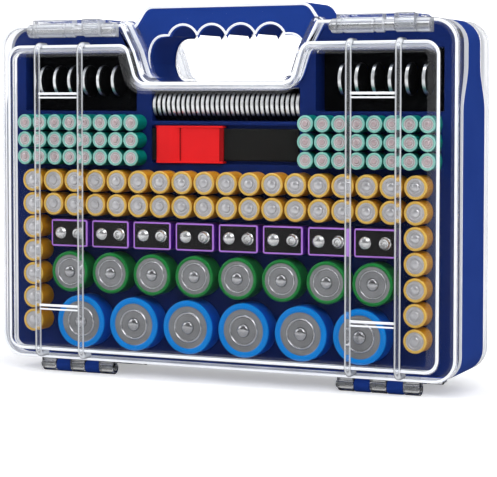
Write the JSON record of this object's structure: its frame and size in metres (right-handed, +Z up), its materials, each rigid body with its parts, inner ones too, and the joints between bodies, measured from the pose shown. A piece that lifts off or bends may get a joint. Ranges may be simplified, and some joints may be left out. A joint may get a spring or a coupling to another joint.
{
  "type": "battery organizer case",
  "caption": "Upright double-sided carrying case in blue plastic with clear hinged covers, filled with round and block cells, coin cells in foam and a battery tester.",
  "frame": {"origin": "on the standing plane, below the middle of the case", "axes": "+X to the right seen from the front, -Y to the front, +Z up"},
  "size_m": [0.311, 0.093, 0.2382],
  "materials": {
    "blue_plastic": "satin",
    "clear_plastic": "clear and glossy",
    "steel": "bright",
    "black_foam": "dull open foam",
    "black_plastic": "matte",
    "red_plastic": "satin",
    "blue_label": "gloss sleeve",
    "green_label": "gloss sleeve",
    "black_label": "gloss sleeve"
  },
  "bodies": {
    "case": {"body_frame": "blue_plastic", "front_tray_lower": "blue_plastic", "front_tray_slim_left": "blue_plastic", "front_tray_slim_right": "blue_plastic", "front_tray_upper": "blue_plastic", "rear_tray": "blue_plastic", "front_hinge_pin_left": "steel", "front_hinge_pin_right": "steel", "rear_hinge_pin_left": "steel", "rear_hinge_pin_right": "steel", "foam_block_left": "black_foam", "foam_block_right": "black_foam", "tester_body": "black_plastic", "coin_cell_left_1": "steel", "coin_cell_left_2": "steel", "coin_cell_left_3": "steel", "coin_cell_left_4": "steel", "coin_cell_left_5": "steel", "coin_cell_left_6": "steel", "coin_cell_right_1": "steel", "coin_cell_right_2": "steel", "coin_cell_right_3": "steel", "coin_cell_right_4": "steel", "coin_cell_right_5": "steel", "coin_cell_right_6": "steel", "d_cell_1": "blue_label", "d_cell_2": "blue_label", "d_cell_3": "blue_label", "d_cell_4": "blue_label", "d_cell_5": "blue_label", "d_cell_6": "blue_label", "c_cell_1": "green_label", "c_cell_2": "green_label", "c_cell_3": "green_label", "c_cell_4": "green_label", "c_cell_5": "green_label", "c_cell_6": "green_label", "c_cell_7": "green_label", "c_cell_8": "green_label", "nine_volt_1": "black_label", "nine_volt_2": "black_label", "nine_volt_3": "black_label", "nine_volt_4": "black_label", "nine_volt_5": "black_label", "nine_volt_6": "black_label", "nine_volt_7": "black_label", "nine_volt_8": "black_label"},
    "front_cover": {"front_cover": "clear_plastic", "front_latch_pin_left": "steel", "front_latch_pin_right": "steel"},
    "rear_cover": {"rear_cover": "clear_plastic", "rear_latch_pin_left": "steel", "rear_latch_pin_right": "steel"},
    "front_latch_left": {"front_latch_left": "clear_plastic"},
    "front_latch_right": {"front_latch_right": "clear_plastic"},
    "rear_latch_left": {"rear_latch_left": "clear_plastic"},
    "rear_latch_right": {"rear_latch_right": "clear_plastic"},
    "tester_slider": {"tester_slider": "red_plastic"}
  },
  "joints": [
    {"name": "front_cover_hinge", "type": "hinge", "parent": "case", "child": "front_cover", "pos_m": [0, -0.0225, 0.0042], "axis": [1, 0, 0], "range_deg": [0, 170]},
    {"name": "front_latch_left_hinge", "type": "hinge", "parent": "front_cover", "child": "front_latch_left", "pos_m": [-0.09925, -0.0393, 0.2222], "axis": [1, 0, 0], "range_deg": [0, 95]},
    {"name": "front_latch_right_hinge", "type": "hinge", "parent": "front_cover", "child": "front_latch_right", "pos_m": [0.10975, -0.0393, 0.2222], "axis": [1, 0, 0], "range_deg": [0, 95]},
    {"name": "rear_cover_hinge", "type": "hinge", "parent": "case", "child": "rear_cover", "pos_m": [0, 0.0225, 0.0042], "axis": [-1, 0, 0], "range_deg": [0, 170]},
    {"name": "rear_latch_left_hinge", "type": "hinge", "parent": "rear_cover", "child": "rear_latch_left", "pos_m": [0.09925, 0.0393, 0.2222], "axis": [-1, 0, 0], "range_deg": [0, 95]},
    {"name": "rear_latch_right_hinge", "type": "hinge", "parent": "rear_cover", "child": "rear_latch_right", "pos_m": [-0.10975, 0.0393, 0.2222], "axis": [-1, 0, 0], "range_deg": [0, 95]},
    {"name": "tester_slide", "type": "slide", "parent": "case", "child": "tester_slider", "axis": [1, 0, 0], "range_m": [0, 0.04]}
  ]
}
